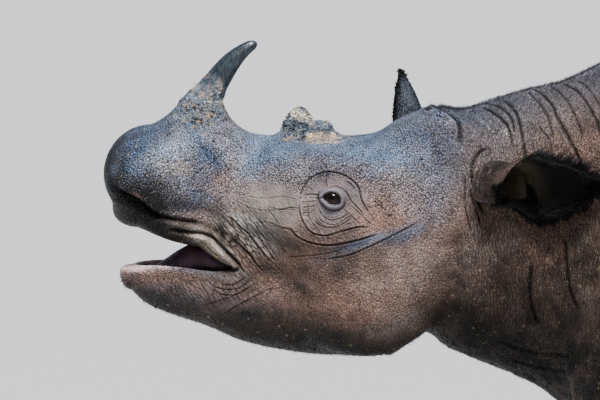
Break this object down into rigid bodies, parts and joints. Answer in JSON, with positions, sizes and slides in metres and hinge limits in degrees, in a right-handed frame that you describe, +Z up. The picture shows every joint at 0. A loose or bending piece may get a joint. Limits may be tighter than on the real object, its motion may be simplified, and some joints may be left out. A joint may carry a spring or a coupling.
{
  "type": "sumatran rhinoceros",
  "caption": "Life-size standing Sumatran rhinoceros with mouth open: folded hairy hide, curved front horn, low worn rear horn, ears turned apart, flat soles.",
  "frame": {"origin": "on the floor, under the middle of the animal's bounding box", "axes": "-X is the way the animal faces, -Y is its left side, +Z is up"},
  "size_m": [2.4443, 0.7528, 1.319],
  "materials": {
    "hide": "pebbled and folded",
    "ear": "hairy",
    "eye": "wet gloss",
    "horn": "worn horn",
    "nail": "worn horn",
    "tongue": "wet"
  },
  "bodies": {
    "root": {"head": "hide", "lower_jaw": "hide", "neck": "hide", "shoulders": "hide", "barrel": "hide", "rump": "hide", "tail": "hide", "ear_left": "ear", "ear_right": "ear", "eye_left": "eye", "eye_right": "eye", "tongue": "tongue", "horn_front": "horn", "horn_rear": "horn", "left_fore_leg": "hide", "left_fore_foot": "hide", "left_fore_nail_inner": "nail", "left_fore_nail_middle": "nail", "left_fore_nail_outer": "nail", "right_fore_leg": "hide", "right_fore_foot": "hide", "right_fore_nail_inner": "nail", "right_fore_nail_middle": "nail", "right_fore_nail_outer": "nail", "left_hind_leg": "hide", "left_hind_foot": "hide", "left_hind_nail_inner": "nail", "left_hind_nail_middle": "nail", "left_hind_nail_outer": "nail", "right_hind_leg": "hide", "right_hind_foot": "hide", "right_hind_nail_inner": "nail", "right_hind_nail_middle": "nail", "right_hind_nail_outer": "nail"}
  },
  "joints": []
}
